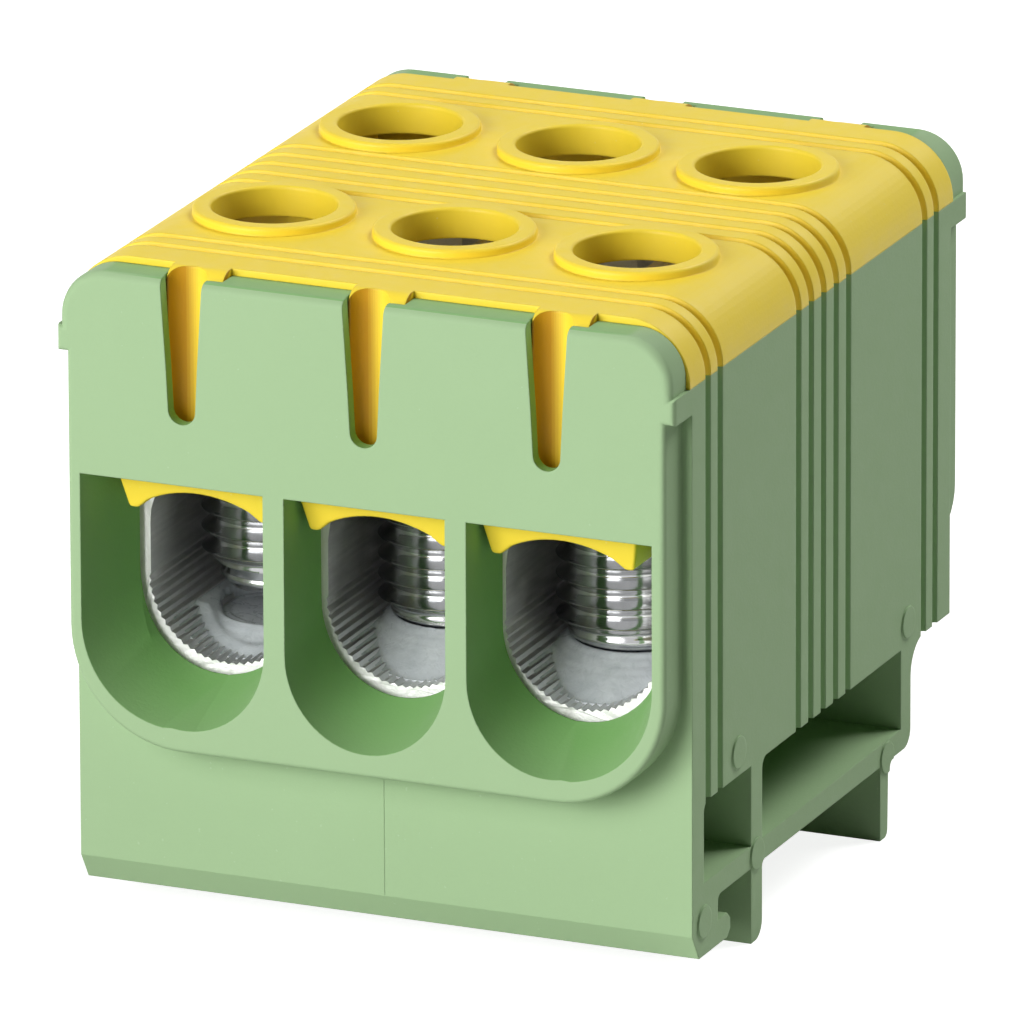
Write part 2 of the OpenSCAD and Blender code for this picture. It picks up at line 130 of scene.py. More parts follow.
class Nodes:
    """Small helper that adds and links the shader nodes of a material or world."""

    def __init__(self, owner, output="ShaderNodeOutputMaterial"):
        self.owner = owner
        owner.use_nodes = True
        self.tree = owner.node_tree
        self.tree.nodes.clear()
        self.output = self.add(output)

    def add(self, kind, links=None, **settings):
        node = self.tree.nodes.new(kind)
        for key, value in settings.items():
            setattr(node, key, value)
        for socket, value in (links or {}).items():
            self.feed(node.inputs[socket], value)
        return node

    def feed(self, target, value):
        if isinstance(value, bpy.types.NodeSocket):
            self.tree.links.new(value, target)
        else:
            target.default_value = value

    def object_coords(self):
        return self.add("ShaderNodeTexCoord").outputs["Object"]

    def stretched(self, vector, scale):
        return self.add("ShaderNodeMapping", {"Vector": vector, "Scale": scale}).outputs["Vector"]

    def noise(self, vector, scale, detail=2.0, rough=0.5, distortion=0.0):
        return self.add("ShaderNodeTexNoise", {"Vector": vector, "Scale": scale, "Detail": detail,
                                               "Roughness": rough, "Distortion": distortion}).outputs["Fac"]

    def span(self, value, source, result):
        return self.add("ShaderNodeMapRange", {
            "Value": value, "From Min": source[0], "From Max": source[1],
            "To Min": result[0], "To Max": result[1]}).outputs["Result"]

    def mix(self, factor, a, b):
        node = self.add("ShaderNodeMix", data_type="RGBA")
        for index, value in ((0, factor), (6, a), (7, b)):
            self.feed(node.inputs[index], value)
        return node.outputs[2]

    def math(self, operation, a, b):
        return self.add("ShaderNodeMath", {0: a, 1: b}, operation=operation).outputs[0]

    def bump(self, height, strength, distance, over=None):
        node = self.add("ShaderNodeBump", {"Strength": strength, "Distance": distance, "Height": height})
        if over is not None:
            self.feed(node.inputs["Normal"], over)
        return node.outputs["Normal"]

    def seen(self):
        """One for camera, glossy and transmission rays, which see the white surroundings, or else zero."""
        path = self.add("ShaderNodeLightPath").outputs
        seen = self.math("MAXIMUM", path["Is Camera Ray"], path["Is Glossy Ray"])
        return self.math("MAXIMUM", seen, path["Is Transmission Ray"])

    def finish(self, shader):
        self.tree.links.new(shader.outputs[0], self.output.inputs["Surface"])
        return self.owner


def rgba(r, g, b):
    return (r, g, b, 1.0)


def moulded_plastic(name, base, shade, deep, speck, edge, shine):
    """Fine-grained moulded plastic: flow marks, dust specks, a darker painted shade colour laid on in its
    hollows and on shaded faces, eased edges and an eroded mould grain.
    """
    n = Nodes(bpy.data.materials.new(name))
    at = n.object_coords()
    flow = n.noise(at, 55.0, detail=3.0, rough=0.55, distortion=0.6)
    colour = n.mix(n.span(flow, (0.3, 0.7), (0.0, 0.5)), rgba(*base), rgba(*shade))
    fine = n.noise(at, 5200.0, rough=0.6)
    colour = n.mix(n.span(fine, (0.35, 0.65), (0.0, 0.16)), colour, rgba(*shade))
    dust = n.noise(at, 3400.0, detail=1.0, rough=0.4)
    colour = n.mix(n.span(dust, (0.775, 0.81), (0.0, 0.4)), colour, rgba(*speck))
    # Painted shade: a corner attribute mixes in the deep colour where pockets, slots, grooves, holes, wall
    # tops and rib sides lie in shade
    hollow = n.add("ShaderNodeAttribute", attribute_name="hollow").outputs["Fac"]
    colour = n.mix(hollow, colour, rgba(*deep))
    eased = n.add("ShaderNodeBevel", {"Radius": edge * MM}, samples=6).outputs["Normal"]
    grain = n.bump(n.noise(at, 4200.0, detail=3.0, rough=0.6), 0.34, 0.04 * MM, eased)
    gloss = n.span(n.noise(at, 900.0, detail=3.0, rough=0.6), (0.3, 0.7), (0.40, 0.52))
    return n.finish(n.add("ShaderNodeBsdfPrincipled", {
        "Base Color": colour, "Roughness": gloss, "IOR": 1.48, "Specular IOR Level": shine, "Normal": grain}))


def tinned_bore():
    """Tin-plated aluminium inside the bores: drawn lines along the bore and dull patches."""
    n = Nodes(bpy.data.materials.new("tinned_bore"))
    at = n.object_coords()
    drawn = n.noise(n.stretched(at, (1.0, 0.06, 1.0)), 2600.0, detail=3.0, rough=0.6)
    cloud = n.span(n.noise(at, 260.0, detail=4.0, rough=0.6), (0.35, 0.7), (0.0, 1.0))
    colour = n.mix(cloud, rgba(0.90, 0.90, 0.88), rgba(0.74, 0.74, 0.72))
    colour = n.mix(n.span(drawn, (0.3, 0.75), (0.0, 0.35)), colour, rgba(0.40, 0.40, 0.40))
    return n.finish(n.add("ShaderNodeBsdfPrincipled", {
        "Base Color": colour, "Roughness": n.span(cloud, (0.0, 1.0), (0.32, 0.50)), "Metallic": 1.0,
        "Normal": n.bump(drawn, 0.25, 0.05 * MM)}))


def tinned_rim():
    """The bar's cut ends: bright, rough and torn, with a few grey tool marks."""
    n = Nodes(bpy.data.materials.new("tinned_rim"))
    at = n.object_coords()
    torn = n.noise(at, 2300.0, detail=4.0, rough=0.65, distortion=0.8)
    marks = n.span(n.noise(n.stretched(at, (1.0, 1.0, 0.25)), 1500.0), (0.60, 0.74), (0.0, 0.6))
    colour = n.mix(marks, rgba(0.97, 0.965, 0.95), rgba(0.70, 0.69, 0.66))
    return n.finish(n.add("ShaderNodeBsdfPrincipled", {
        "Base Color": colour, "Roughness": n.span(torn, (0.3, 0.7), (0.34, 0.5)), "Metallic": 0.3,
        "Normal": n.bump(torn, 0.5, 0.12 * MM)}))


def plated_steel():
    """Bright plated steel with turning marks round the screw and a few dull patches."""
    n = Nodes(bpy.data.materials.new("plated_steel"))
    at = n.object_coords()
    turned = n.noise(n.stretched(at, (0.08, 0.08, 1.0)), 5200.0)
    patch = n.span(n.noise(at, 420.0, detail=4.0, rough=0.65), (0.42, 0.68), (0.0, 1.0))
    colour = n.mix(patch, rgba(0.50, 0.505, 0.51), rgba(0.40, 0.405, 0.41))
    return n.finish(n.add("ShaderNodeBsdfPrincipled", {
        "Base Color": colour, "Roughness": n.span(patch, (0.0, 1.0), (0.10, 0.24)), "Metallic": 1.0,
        "Normal": n.bump(turned, 0.18, 0.03 * MM)}))


def contact_grease():
    """Blue-grey contact grease: smooth, a little cloudy, with smear marks."""
    n = Nodes(bpy.data.materials.new("contact_grease"))
    at = n.object_coords()
    cloud = n.span(n.noise(at, 700.0, detail=4.0, rough=0.6, distortion=0.8), (0.3, 0.7), (0.0, 1.0))
    colour = n.mix(cloud, rgba(0.40, 0.43, 0.46), rgba(0.52, 0.55, 0.58))
    smear = n.noise(at, 1400.0, detail=3.0, rough=0.6, distortion=1.2)
    return n.finish(n.add("ShaderNodeBsdfPrincipled", {
        "Base Color": colour, "Roughness": n.span(smear, (0.3, 0.7), (0.22, 0.42)), "IOR": 1.46,
        "Normal": n.bump(smear, 0.4, 0.08 * MM)}))


# deep is each plastic's painted shade colour: a darker, more saturated green and an orange-brown yellow for
# places in shade
GREEN = moulded_plastic("green_plastic", base=(0.390, 0.558, 0.316), shade=(0.368, 0.532, 0.294),
                        deep=(0.225, 0.465, 0.155), speck=(0.52, 0.67, 0.46), edge=0.14, shine=0.05)
YELLOW = moulded_plastic("yellow_plastic", base=(0.985, 0.752, 0.052), shade=(0.955, 0.712, 0.042),
                         deep=(0.600, 0.300, 0.003), speck=(0.99, 0.84, 0.28), edge=0.2, shine=0.40)
TIN = tinned_bore()
RIM = tinned_rim()
STEEL = plated_steel()
GREASE = contact_grease()


# Flat regions of a mesh, found before its edges are rounded and filled anew after

Plane = namedtuple("Plane", "normal point area")
SAME_PLANE = 0.9999995
ON_PLANE = 0.002
WIDE_AREA = 5.0


def number_region(seed, layer, index):
    """Writes a number on the flat region round a face and returns the region's area."""
    seed[layer] = index
    area, todo = 0.0, [seed]
    while todo:
        face = todo.pop()
        area += face.calc_area()
        for other in (f for edge in face.edges for f in edge.link_faces):
            if not other[layer] and other.normal.dot(seed.normal) > SAME_PLANE:
                other[layer] = index
                todo.append(other)
    return area


def flat_regions(bm):
    """Numbers the flat regions of a mesh in a face layer and returns each one's plane."""
    layer = bm.faces.layers.int.new("flat")
    planes = {}
    for seed in bm.faces:
        if not seed[layer]:
            index = len(planes) + 1
            area = number_region(seed, layer, index)
            planes[index] = Plane(seed.normal.copy(), seed.verts[0].co.copy(), area)
    return planes


def wound(places, start, end):
    """How often a closed outline, given as its lines' starts and ends, winds round each place."""
    x, y = places[:, :1], places[:, 1:]
    left = (end[:, 0] - start[:, 0]) * (y - start[:, 1]) - (end[:, 1] - start[:, 1]) * (x - start[:, 0])
    rises = (start[:, 1] <= y) & (end[:, 1] > y) & (left > 0)
    falls = (start[:, 1] > y) & (end[:, 1] <= y) & (left < 0)
    return rises.sum(1) - falls.sum(1)


def border_lines(faces):
    """Lines round a set of faces, as pairs of vertices."""
    inside = set(faces)
    return [(loop.vert, loop.link_loop_next.vert) for face in faces for loop in face.loops
            if sum(other in inside for other in loop.edge.link_faces) == 1]


def add_flat_face(bm, corners, normal, index):
    """Adds one face of a flat region, turned to the region's side."""
    face = bm.faces.new(corners)
    face[bm.faces.layers.int["flat"]] = index
    face.normal_update()
    if face.normal.dot(normal) < 0:
        face.normal_flip()


def refill(bm, faces, plane, index):
    """Fills one flat region anew between its border lines."""
    across = plane.normal.orthogonal().normalized()
    up = plane.normal.cross(across)
    border = border_lines(faces)
    verts = list({v: None for line in border for v in line})
    number = {v: i for i, v in enumerate(verts)}
    places = np.array([(v.co.dot(across), v.co.dot(up)) for v in verts])
    lines = np.array([(number[a], number[b]) for a, b in border])
    spots, _, triangles, origin = delaunay_2d_cdt(
        [Vector(place) for place in places], lines.tolist(), [], 1, 1e-5)[:4]
    if not triangles:
        return
    middles = np.array([np.mean([spots[i] for i in triangle], axis=0) for triangle in triangles])
    turns = wound(middles, places[lines[:, 0]], places[lines[:, 1]])
    height = plane.normal * plane.point.dot(plane.normal)
    corners = [verts[old[0]] if old else bm.verts.new(height + across * spot.x + up * spot.y)
               for spot, old in zip(spots, origin)]
    bmesh.ops.delete(bm, geom=faces, context="FACES_ONLY")
    for triangle, turn in zip(triangles, turns):
        chosen = [corners[i] for i in triangle]
        if turn > 0 and not bm.faces.get(chosen):
            add_flat_face(bm, chosen, plane.normal, index)


def refill_flats(bm, planes):
    """Fills each flat region anew between the borders that the rounding left it."""
    layer = bm.faces.layers.int["flat"]
    groups = defaultdict(list)
    for face in bm.faces:
        plane = planes.get(face[layer])
        if plane and all(abs((v.co - plane.point).dot(plane.normal)) < ON_PLANE for v in face.verts):
            groups[face[layer]].append(face)
    for index, faces in groups.items():
        if len(faces) > 1 or len(faces[0].verts) > 4:
            refill(bm, faces, planes[index], index)
    for edge in [e for e in bm.edges if not e.link_faces]:
        bm.edges.remove(edge)
    for vert in [v for v in bm.verts if not v.link_edges]:
        bm.verts.remove(vert)


# Faint steps in the floors of the outer wire pockets, which the dressed housing doesn't show

MERGE = 0.002
STEP_FROM_X, STEP_TO_X = 8.0, 16.0
SLIVER_AREA = 0.2


def on_floor_step(face):
    """True for a sliver of the faint step between the two floors of an outer wire pocket."""
    at, normal = face.calc_center_median(), face.normal
    on_floor = abs(at.y) > BAR_Y and POCKET_Z - 1 < at.z < POCKET_Z + 3
    beside_rounding = STEP_FROM_X < abs(at.x) < STEP_TO_X
    outward = normal.x * at.x > 0.3 * abs(at.x) and normal.z > 0.2
    return on_floor and beside_rounding and outward and face.calc_area() < SLIVER_AREA


def draw_together(step, kept):
    """Moves the vertices of one step onto a straight line and drops the CAD normals round it."""
    outer = max(step, key=lambda v: (round(abs(v.co.y), 2), v.co.z)).co.copy()
    run = min(step, key=lambda v: (round(abs(v.co.y), 2), v.co.z)).co - outer
    for vert in step:
        vert.co = outer + run * ((vert.co.y - outer.y) / run.y)
    for face in {f for v in step for f in v.link_faces}:
        for loop in face.loops:
            loop[kept] = Vector()


def flatten_floor_steps(bm):
    """Draws each faint step between two pocket floors together into one straight line."""
    steps = defaultdict(dict)
    for face in filter(on_floor_step, bm.faces):
        at = face.calc_center_median()
        steps[at.x > 0, at.y > 0].update(dict.fromkeys(face.verts))
    for step in steps.values():
        draw_together(step, bm.loops.layers.float_vector["cad_normal"])
    verts = [v for step in steps.values() for v in step]
    bmesh.ops.remove_doubles(bm, verts=verts, dist=MERGE)
    between = [v for v in verts if v.is_valid and BAR_Y + 1 < abs(v.co.y) < FRAME_Y - 0.1]
    bmesh.ops.dissolve_verts(bm, verts=between)


# Copies of the CAD mouldings with rounded edges

SHARP_EDGE = math.radians(28)
STRIP = 1


@contextmanager
def editing(mesh):
    """Gives a mesh for editing and writes it back."""
    bm = bmesh.new()
    bm.from_mesh(mesh)
    yield bm
    bm.to_mesh(mesh)
    bm.free()


def cad_copy(node, name):
    """Copies a CAD node in millimetres and keeps the CAD's normals at its face corners."""
    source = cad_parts[node].data
    mesh = source.copy()
    kept = mesh.attributes.new("cad_normal", "FLOAT_VECTOR", "CORNER")
    kept.data.foreach_set("vector", [c for n in source.corner_normals for c in n.vector])
    mesh.transform(Matrix.Scale(1 / MM, 4))
    obj = bpy.data.objects.new(name, mesh)
    scene.collection.objects.link(obj)
    return obj


def weigh_edges(bm, radius_of):
    """Sets the radius of each sharp edge as its weight and returns the flat regions beside rounded edges."""
    flat = bm.faces.layers.int["flat"]
    weight = bm.edges.layers.float.new("bevel_weight_edge")
    beside = set()
    for edge in bm.edges:
        if edge.calc_face_angle_signed(0.0) > SHARP_EDGE:
            a, b = edge.verts[0].co, edge.verts[1].co
            edge[weight] = radius_of(a, b, (a + b) / 2) / WIDEST_EDGE
            if edge[weight]:
                beside.update(face[flat] for face in edge.link_faces)
    return beside


def clear_flats(bm, chosen):
    """Takes the edges out of the chosen flat regions, so that the rounding has room."""
    flat = bm.faces.layers.int["flat"]
    inner = [e for e in bm.edges if e.link_faces[0][flat] in chosen
             and e.link_faces[0][flat] == e.link_faces[1][flat]]
    bmesh.ops.dissolve_limit(bm, angle_limit=math.radians(0.4), use_dissolve_boundaries=False,
                             verts=[], edges=inner, delimit=set())


def bevelled(obj, material):
    """The object's mesh with its weighted edges rounded; the strips along them use the second slot."""
    obj.data.materials.clear()
    for _ in range(STRIP + 1):
        obj.data.materials.append(material)
    bevel = obj.modifiers.new("edges", "BEVEL")
    bevel.limit_method = "WEIGHT"
    bevel.width = WIDEST_EDGE
    bevel.segments = 3
    bevel.use_clamp_overlap = False
    bevel.miter_outer = "MITER_ARC"
    bevel.material = STRIP
    graph = bpy.context.evaluated_depsgraph_get()
    made = bpy.data.meshes.new_from_object(obj.evaluated_get(graph))
    obj.modifiers.clear()
    return made


def mean_normal(normals, facing, likeness):
    """Mean of those normals that are like a given one."""
    return sum((n for n in normals if n.dot(facing) > likeness), Vector()).normalized()


def corner_normals(mesh, planes):
    """Normals for each face corner: plane on flats, the CAD's on other faces, between them on strips."""
    own = np.empty(len(mesh.loops) * 3, np.float32)
    mesh.attributes["cad_normal"].data.foreach_get("vector", own)
    own = own.reshape(-1, 3)
    flat = mesh.attributes["flat"].data
    strips, curved = [], []
    solid, along = defaultdict(list), defaultdict(list)
    for face in mesh.polygons:
        facing = face.normal.copy()
        plane = planes.get(flat[face.index].value)
        for loop in face.loop_indices:
            vertex = mesh.loops[loop].vertex_index
            if face.material_index == STRIP:
                strips.append((loop, vertex, facing))
                along[vertex].append(facing)
                continue
            normal = plane.normal if plane else Vector(own[loop])
            own[loop] = normal = normal if normal.dot(facing) > 0.7 else facing
            solid[vertex].append(normal)
            if not plane:
                curved.append((loop, vertex, normal))
    for loop, vertex, normal in curved:
        own[loop] = mean_normal(solid[vertex], normal, 0.98)
    for loop, vertex, facing in strips:
        best = max(solid[vertex], key=facing.dot, default=None)
        if best is None or facing.dot(best) < 0.8:
            best = mean_normal(along[vertex], facing, 0.75)
        own[loop] = best.normalized()
    return own


def one_material(mesh, material):
    """Gives a whole mesh one material and smooth shading."""
    mesh.materials.clear()
    mesh.materials.append(material)
    mesh.polygons.foreach_set("material_index", np.zeros(len(mesh.polygons), np.int32))
    mesh.shade_smooth()


def rounded_copy(node, name, radius_of, material):
    """Stands in for a CAD node of the block, each edge rounded by the radius asked for it."""
    obj = cad_copy(node, name)
    with editing(obj.data) as bm:
        bmesh.ops.remove_doubles(bm, verts=bm.verts, dist=MERGE)
        bm.normal_update()
        flatten_floor_steps(bm)
        bmesh.ops.dissolve_degenerate(bm, dist=0.001, edges=bm.edges)
        bm.normal_update()
        planes = {i: p for i, p in flat_regions(bm).items() if p.area > WIDE_AREA}
        beside = weigh_edges(bm, radius_of)
        clear_flats(bm, beside)
    obj.data = made = bevelled(obj, material)
    with editing(made) as bm:
        bmesh.ops.remove_doubles(bm, verts=bm.verts, dist=0.0005)
        bm.normal_update()
        refill_flats(bm, {i: p for i, p in planes.items() if i in beside})
        bmesh.ops.triangulate(bm, faces=[f for f in bm.faces if len(f.verts) > 4])
    normals = corner_normals(made, planes)
    one_material(made, material)
    made.normals_split_custom_set(normals)
    for spare in ("cad_normal", "flat"):
        made.attributes.remove(made.attributes[spare])
    made.name = name
    made.transform(Matrix.Scale(MM, 4))
    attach(obj, "block")
    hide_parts(node)
    return obj


def mark_hollows(obj, painted_shade_of):
    """Stores the painted shade of each face corner, from 0 to 1, for the plastic's darker shade colour."""
    mesh = obj.data
    painted_shade_layer = mesh.attributes.new("hollow", "FLOAT", "CORNER")
    for face in mesh.polygons:
        for loop in face.loop_indices:
            at = mesh.vertices[mesh.loops[loop].vertex_index].co / MM
            painted_shade_layer.data[loop].value = min(1.0, max(0.0, painted_shade_of(at, face.normal)))


# Housing and cover

def near(a, b, tol=0.02):
    return abs(a - b) <= tol


def in_frame(at, margin=0.5):
    """True inside the outline of an end frame, with its rounded lower corners, by more than a margin."""
    across = abs(at.x) - (FRAME_HALF - FRAME_CORNER)
    down = FRAME_Z + FRAME_CORNER - at.z
    if across > 0 and down > 0:
        return math.hypot(across, down) < FRAME_CORNER - margin
    return across < FRAME_CORNER - margin and down < FRAME_CORNER - margin


def in_slot(at):
    """True across the width of a slot in the end walls."""
    return min(abs(at.x - pole) for pole in POLES) < SLOT_REACH


def housing_radius(a, b, mid):
    """Radius for an edge of the housing from a to b: only the frames' outer edges are rounded this far."""
    on_face = near(abs(a.y), FRAME_Y) and near(abs(b.y), FRAME_Y)
    slotted = POCKET_TOP + 1 < mid.z < WALL_TOP - 0.05 and in_slot(mid)
    in_pocket = mid.z < POCKET_TOP and in_frame(mid, 0.1)
    if not on_face or slotted or in_pocket:
        return 0.0
    if mid.z < SEAM_Z:
        return FRAME_EDGE
    return FRONT_WALL_EDGE if mid.y < 0 else REAR_WALL_EDGE


def housing_hollow(at, normal):
    """Painted shade on the housing: in a pocket, growing deeper inwards, on a slot's walls, in a side groove
    and on the wall tops.
    """
    if at.z > WALL_TOP - 0.02 and normal.z > 0.9:
        return 0.5
    if at.z > POCKET_TOP + 1 and in_slot(at) and abs(normal.y) < 0.5:
        return 0.8
    if at.z < POCKET_TOP and abs(at.y) > FRONT_Y - 4 and in_frame(at) and abs(normal.y) < 0.9:
        return 0.7 + 0.3 * (FRAME_Y - abs(at.y)) / POCKET_D
    if at.z < SEAM_Z and BODY_HALF - 1 < abs(at.x) < BODY_HALF and abs(at.y) < FRONT_Y - 0.6:
        return 0.6 * (BODY_HALF - abs(at.x)) / GROOVE_D
    return 0.0


def hole_distance(at):
    """Distance to the axis of the nearest key hole."""
    return min(math.hypot(at.x - x, at.y - y) for x in POLES for _, y in ROWS)


def cover_radius(a, b, mid):
    """Radius for an edge of the cover from a to b: the collars' and the hooks' edges are rounded."""
    if near(mid.z, COLLAR_TOP):
        return COLLAR_EDGE if hole_distance(mid) > 0.5 * (COLLAR_R + KEY_R) else KEY_EDGE
    if mid.z < HOOK_TOP - 0.2:
        return HOOK_SIDE_EDGE if abs(a.y - b.y) > 0.9 * (a - b).length else HOOK_EDGE
    return 0.0


def cover_hollow(at, normal):
    """Painted shade on the cover: darker down the walls of the screw holes, and painted shadow on the
    right-facing side of each rib's hollow.
    """
    if hole_distance(at) < KEY_R + 0.1 and abs(normal.z) < 0.5:
        return (KEY_SHADE_Z - at.z) / KEY_SHADE_RUN
    if abs(at.y) > FRONT_Y + 0.5 and at.z > POCKET_TOP and abs(normal.z) < 0.3:
        return 0.45 + 1.5 * normal.x
    return 0.0


housing = rounded_copy("housing", "housing_moulding", housing_radius, GREEN)
mark_hollows(housing, housing_hollow)
cover = rounded_copy("cover", "cover_moulding", cover_radius, YELLOW)
mark_hollows(cover, cover_hollow)


# Bar, with bright cut ends that are a little torn

bar = bpy.data.objects.new("bar_plated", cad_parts["terminal_block"].data.copy())
scene.collection.objects.link(bar)
bar.data.materials.clear()
for material in (TIN, RIM):
    bar.data.materials.append(material)
for polygon in bar.data.polygons:
    polygon.material_index = 1 if abs(polygon.normal.y) > 0.9 else 0
seed_set(TEAR_SEED)
for vertex in bar.data.vertices:
    if abs(vertex.co.y) > (BAR_Y - 0.05) * MM:
        vertex.co += noise_vector(vertex.co * 2100.0) * (BAR_TEAR * MM)
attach(bar, "block")
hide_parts("terminal_block")


# Pieces made anew

def add_piece(name, mesh, body, material, sharp=35.0):
    """Links a new piece that rides a body: smooth, crisp above an angle, and its flat faces kept flat."""
    obj = bpy.data.objects.new(name, mesh)
    scene.collection.objects.link(obj)
    one_material(mesh, material)
    mesh.set_sharp_from_angle(angle=math.radians(sharp))
    normals = obj.modifiers.new("normals", "WEIGHTED_NORMAL")
    normals.mode = "FACE_AREA"
    normals.keep_sharp = True
    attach(obj, body)
    return obj


# Clamp screws with a helical thread

class Lathe:
    """Rings of points round the z axis, joined to a mesh."""

    def __init__(self, steps):
        self.steps = steps
        self.angles = [2 * math.pi * i / steps for i in range(steps)]
        self.verts, self.faces = [], []

    def ring(self, radii, heights):
        first = len(self.verts)
        self.verts.extend((r * math.cos(t), r * math.sin(t), z)
                          for r, z, t in zip(radii, heights, self.angles))
        return first

    def circle(self, r, z):
        return self.ring([r] * self.steps, [z] * self.steps)

    def hexagon(self, half, z):
        sixth = math.pi / 3
        return self.ring([half / math.cos((t + sixth / 2) % sixth - sixth / 2) for t in self.angles],
                         [z] * self.steps)

    def join(self, rings):
        for low, high in zip(rings, rings[1:]):
            for i in range(self.steps):
                j = (i + 1) % self.steps
                self.faces.append((low + i, low + j, high + j, high + i))

    def mesh(self, name):
        bm = bmesh.new()
        made = [bm.verts.new(Vector(v) * MM) for v in self.verts]
        for face in self.faces:
            bm.faces.new([made[i] for i in face])
        bmesh.ops.remove_doubles(bm, verts=bm.verts, dist=1.5e-6)
        bmesh.ops.dissolve_degenerate(bm, dist=1e-7, edges=bm.edges)
        bmesh.ops.recalc_face_normals(bm, faces=bm.faces)
        mesh = bpy.data.meshes.new(name)
        bm.to_mesh(mesh)
        bm.free()
        return mesh


def thread_profile():
    """Pairs of share of a pitch and share of the thread's height, from one hollow over the thin crest."""
    half = [(0.03, 0.985), (0.07, 0.93)]
    half += [(off, 0.96 * (1 - off) ** 1.5) for off in (0.12, 0.22, 0.34, 0.5, 0.68, 0.85)]
    rise = [(0.5 - off / 2, height) for off, height in reversed(half)]
    fall = [(0.5 + off / 2, height) for off, height in half]
    return [(0.0, 0.0)] + rise + [(0.5, 1.0)] + fall


def thread_row(lathe, turn, share):
    """Heights of one row of the thread, which climbs with the angle and so follows the helix."""
    return [THREAD_START + (turn + share + i / lathe.steps) * SCREW_PITCH for i in range(lathe.steps)]


def thread_radius(z, height):
    """Radius of the thread at a height up the screw; it runs out at both ends."""
    fade = min(1.0, max(0.0, (z - THREAD_START) / 0.9), max(0.0, (THREAD_END - z) / 0.8))
    return ROOT_R + (SCREW_R - ROOT_R) * height * fade * fade * (3 - 2 * fade)


def add_thread(lathe):
    """Adds the thread's rows and the faces between them."""
    profile = thread_profile()
    turns = math.ceil((THREAD_END - THREAD_START) / SCREW_PITCH) + 1
    rows = []
    for turn in range(-1, turns):
        for share, height in profile:
            row = thread_row(lathe, turn, share)
            rows.append(lathe.ring([thread_radius(z, height) for z in row],
                                   [min(max(z, THREAD_START), THREAD_END) for z in row]))
    last = lathe.steps - 1
    for k, (low, high) in enumerate(zip(rows, rows[1:])):
        lathe.faces.extend((low + i, low + i + 1, high + i + 1, high + i) for i in range(last))
        # The seam at angle zero joins each row to the row one pitch higher
        up = k + len(profile)
        if up + 1 < len(rows):
            lathe.faces.append((low + last, rows[up], rows[up + 1], high + last))


def screw_mesh(name):
    """One clamp screw, its end at the origin: plain point, rolled thread and hex socket."""
    lathe = Lathe(SCREW_STEPS)
    point = [lathe.circle(r, z) for r, z in POINT + NECK]
    lathe.faces.append(tuple(reversed(range(point[0], point[0] + SCREW_STEPS))))
    lathe.join(point)
    add_thread(lathe)
    top = [lathe.circle(r, z) for r, z in HEAD]
    top += [lathe.hexagon(SOCKET_HALF, SCREW_LEN - down) for down in (SOCKET_LIP, SOCKET_DEPTH)]
    lathe.join(top)
    tip = len(lathe.verts)
    lathe.verts.append((0, 0, SCREW_LEN - SOCKET_TIP))
    lathe.faces.extend((top[-1] + i, top[-1] + (i + 1) % SCREW_STEPS, tip) for i in range(SCREW_STEPS))
    return lathe.mesh(name)


for row, y in ROWS:
    for side, x in zip(SIDES, BORES):
        node = f"screw_{row}_{side}"
        lift = SCREW_LIFT if node == "screw_front_left" else 0.0
        mesh = screw_mesh(node + "_thread")
        mesh.transform(Matrix.Translation(Vector((x, y, SCREW_Z + lift)) * MM)
                       @ Matrix.Rotation(0.9 * x + 0.4 * y, 4, "Z"))
        screw = add_piece(node + "_piece", mesh, node, STEEL, 62.0)
        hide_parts(node)


# Contact grease round the screw points

def grease_film(angle, y, phase):
    """Place across and height of the film at an angle from the bore's bottom, y from the screw's axis."""
    reach = GREASE_REACH - 3.4 * (angle / GREASE_SPREAD) ** 2
    reach += 0.25 * math.sin(5 * angle + phase) + 0.12 * math.sin(11 * angle)
    film = GREASE_FILM + 0.06 * math.sin(3 * angle + 0.8 * y + phase)
    fade = min(1.0, max(0.0, (reach - abs(y)) / 1.1), max(0.0, (GREASE_SPREAD - abs(angle)) / 0.2))
    r = BORE_R + 0.12 - (film + 0.12) * fade * fade * (3 - 2 * fade)
    return r * math.sin(angle), BORE_Z + BORE_R - r * math.cos(angle)


def grease_top(angle, y, phase, height, gap):
    """Place across and height of the grease: film, print of the screw's point and heap round it."""
    x, z = grease_film(angle, y, phase)
    away = math.hypot(x, y)
    if away < POINT_R:
        return x, SCREW_Z + min(height, float(np.interp(away, *zip(*POINT)))) - gap
    off = abs(away - POINT_R - 0.3)
    waves = 0.03 * math.sin(15 * off + phase) if off < 1.6 else 0.0
    heap = SCREW_Z + height - 1.1 * off * off / (0.3 + off) + waves
    blend = 0.5 * (z + heap + math.hypot(z - heap, 0.3))
    return x, max(z, min(blend, SCREW_Z + GREASE_TOP))


def grease_mesh(name, x0, y0, phase, height, gap):
    """Grease on the lower half of a bore: a film on its floor, heaped round the screw's point."""
    across, along = 80, 108
    deep = BORE_R + 0.3
    top, under = [], []
    for j in range(along + 1):
        y = GREASE_HALF * (2 * j / along - 1)
        for i in range(across + 1):
            angle = GREASE_SPREAD * (2 * i / across - 1)
            x, z = grease_top(angle, y, phase, height, gap)
            top.append((x0 + x, y0 + y, z))
            low = BORE_Z + BORE_R - deep * math.cos(angle)
            under.append((x0 + deep * math.sin(angle), y0 + y, low))
    count, wide = len(top), across + 1
    faces = []
    for j in range(along):
        for i in range(across):
            a = j * wide + i
            faces.append((a, a + 1, a + wide + 1, a + wide))
            faces.append((count + a, count + a + wide, count + a + wide + 1, count + a + 1))
    corners = (0, across, along * wide + across, along * wide)
    steps = (1, wide, -1, -wide)
    edge = [a for start, step, end in zip(corners, steps, corners[1:] + corners[:1])
            for a in range(start, end, step)]
    for a, b in zip(edge, edge[1:] + edge[:1]):
        faces.append((b, a, count + a, count + b))
    mesh = bpy.data.meshes.new(name)
    mesh.from_pydata([Vector(v) * MM for v in top + under], [], faces)
    return mesh


